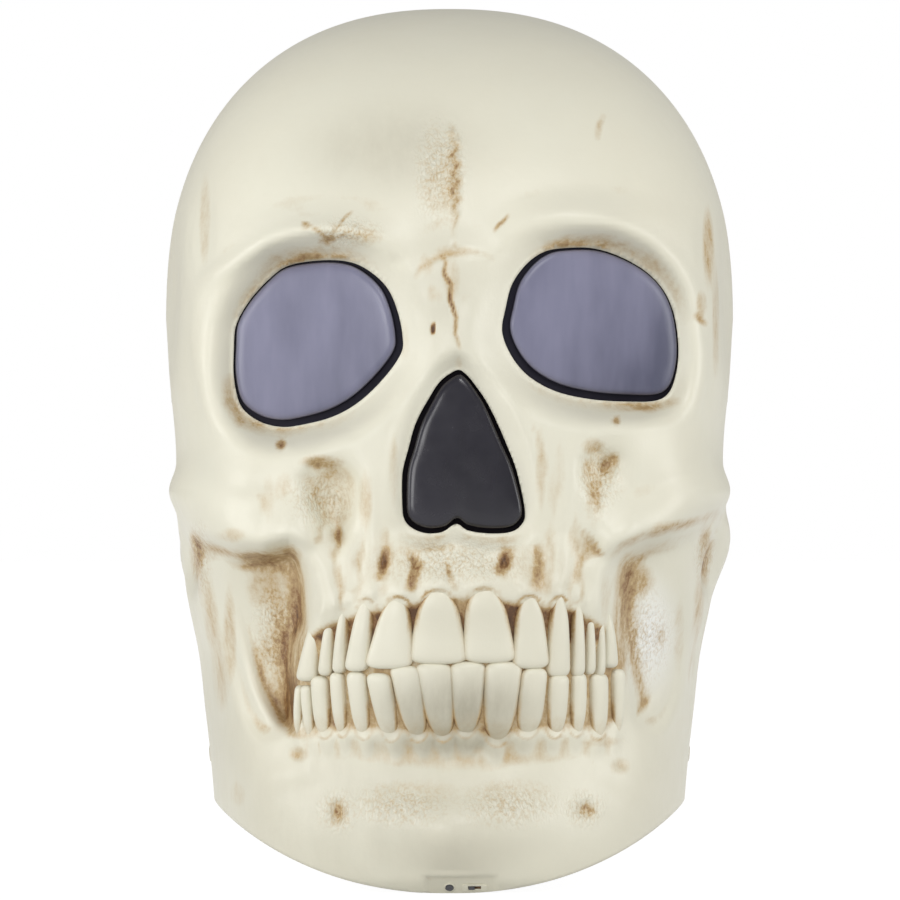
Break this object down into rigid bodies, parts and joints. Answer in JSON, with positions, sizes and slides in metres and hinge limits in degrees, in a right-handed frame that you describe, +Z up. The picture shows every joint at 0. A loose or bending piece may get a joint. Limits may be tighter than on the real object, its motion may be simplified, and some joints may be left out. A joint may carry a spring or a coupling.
{
  "type": "halloween skull decoration",
  "caption": "Jumbo hollow halloween skull for the yard, with three smoked light windows, rows of teeth, a push button and slide switch under the chin and a rear battery door.",
  "frame": {"origin": "bottom centre of the bounding box, on the surface that the skull stands on", "axes": "+Z up through the crown, -Y out of the face, +X to the right of someone who looks at the face"},
  "size_m": [0.588, 0.6969, 0.9],
  "materials": {
    "bone_shell": "satin blow-moulded bone with a brown wash in its hollows",
    "smoked_panel": "satin smoked grey-violet",
    "dark_panel": "dark smoked, glossier than the eyes",
    "white_cup": "glossy white",
    "circuit_board": "green solder mask",
    "screw_steel": "zinc plated",
    "spring_steel": "nickel plated",
    "black_plastic": "fine moulded grain",
    "grey_plastic": "fine moulded grain",
    "cell_jacket": "plain printed jacket, unmarked"
  },
  "bodies": {
    "skull": {"front_shell": "bone_shell", "rear_shell": "bone_shell", "left_eye_lens": "smoked_panel", "right_eye_lens": "smoked_panel", "nose_lens": "dark_panel", "left_eye_reflector": "white_cup", "right_eye_reflector": "white_cup", "nose_reflector": "white_cup", "left_eye_light_board": "circuit_board", "right_eye_light_board": "circuit_board", "nose_light_board": "circuit_board", "control_board": "circuit_board", "left_eye_screw_1": "screw_steel", "left_eye_screw_2": "screw_steel", "left_eye_screw_3": "screw_steel", "right_eye_screw_1": "screw_steel", "right_eye_screw_2": "screw_steel", "right_eye_screw_3": "screw_steel", "nose_screw_1": "screw_steel", "nose_screw_2": "screw_steel", "nose_screw_3": "screw_steel", "left_seam_screw_1": "screw_steel", "right_seam_screw_1": "screw_steel", "left_seam_screw_2": "screw_steel", "right_seam_screw_2": "screw_steel", "crown_seam_screw": "screw_steel", "base_screw_1": "screw_steel", "base_screw_2": "screw_steel", "base_screw_3": "screw_steel", "base_screw_4": "screw_steel", "board_screw_1": "screw_steel", "board_screw_2": "screw_steel", "tray_screw_1": "screw_steel", "tray_screw_2": "screw_steel", "battery_door_pin": "screw_steel", "contact_strip_low": "spring_steel", "contact_strip_high": "spring_steel", "base_plate": "black_plastic", "button_collar": "black_plastic", "switch_bezel": "black_plastic", "battery_tray": "black_plastic", "battery_cell_1": "cell_jacket", "battery_cell_2": "cell_jacket", "battery_cell_3": "cell_jacket"},
    "battery_door": {"battery_door": "bone_shell", "battery_door_screw": "screw_steel"},
    "switch_slider": {"switch_slider": "grey_plastic"},
    "push_button": {"push_button": "grey_plastic"}
  },
  "joints": [
    {"name": "battery_door", "type": "hinge", "parent": "skull", "child": "battery_door", "pos_m": [0, 0.2562, 0.29895], "axis": [1, 0, 0], "range_deg": [0, 95]},
    {"name": "power_switch", "type": "slide", "parent": "skull", "child": "switch_slider", "axis": [1, 0, 0], "range_m": [0, 0.006]},
    {"name": "button_press", "type": "slide", "parent": "skull", "child": "push_button", "axis": [0, 0.766, 0.6428], "range_m": [0, 0.0015], "stiffness_N_per_m": 300}
  ]
}
